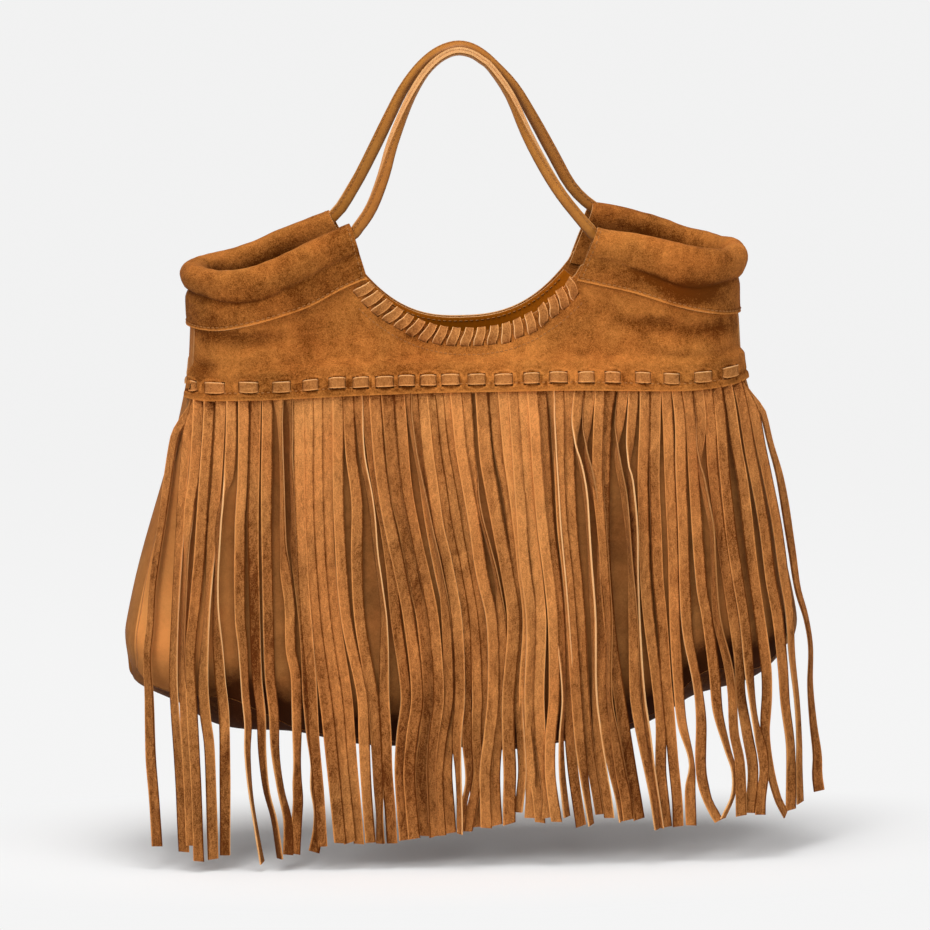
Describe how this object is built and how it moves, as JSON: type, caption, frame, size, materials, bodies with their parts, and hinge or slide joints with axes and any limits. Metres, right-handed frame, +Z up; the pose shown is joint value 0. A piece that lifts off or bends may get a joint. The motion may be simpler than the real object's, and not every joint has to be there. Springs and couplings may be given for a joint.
{
  "type": "fringed suede bag",
  "caption": "Slouchy suede handbag with a scooped neckline, turned-over cuffs that carry a looped leather strap, laced seams and a long front fringe.",
  "frame": {"origin": "on the underside of the strap at the top of its arch, midway between the front and the back handle", "axes": "+Z up as the bag hangs, +Y out of the back, so the fringed front faces -Y, and +X to the right as seen from the front"},
  "size_m": [0.419, 0.1142, 0.5032],
  "materials": {
    "suede": "brushed tan suede with a mottled nap",
    "lace_suede": "tan suede lace with pale cut edges",
    "smooth_leather": "smooth tan leather with a low sheen",
    "body_leather": "soft tan leather, nearly matt"
  },
  "bodies": {
    "root": {"front_yoke": "suede", "back_yoke": "suede", "left_cuff": "suede", "right_cuff": "suede", "fringe": "suede", "neckline_lace": "lace_suede", "seam_lace": "lace_suede", "front_body_panel": "body_leather", "back_body_panel": "body_leather", "side_and_base_gusset": "body_leather", "handle_strap": "smooth_leather", "back_neck_facing": "smooth_leather"}
  },
  "joints": []
}
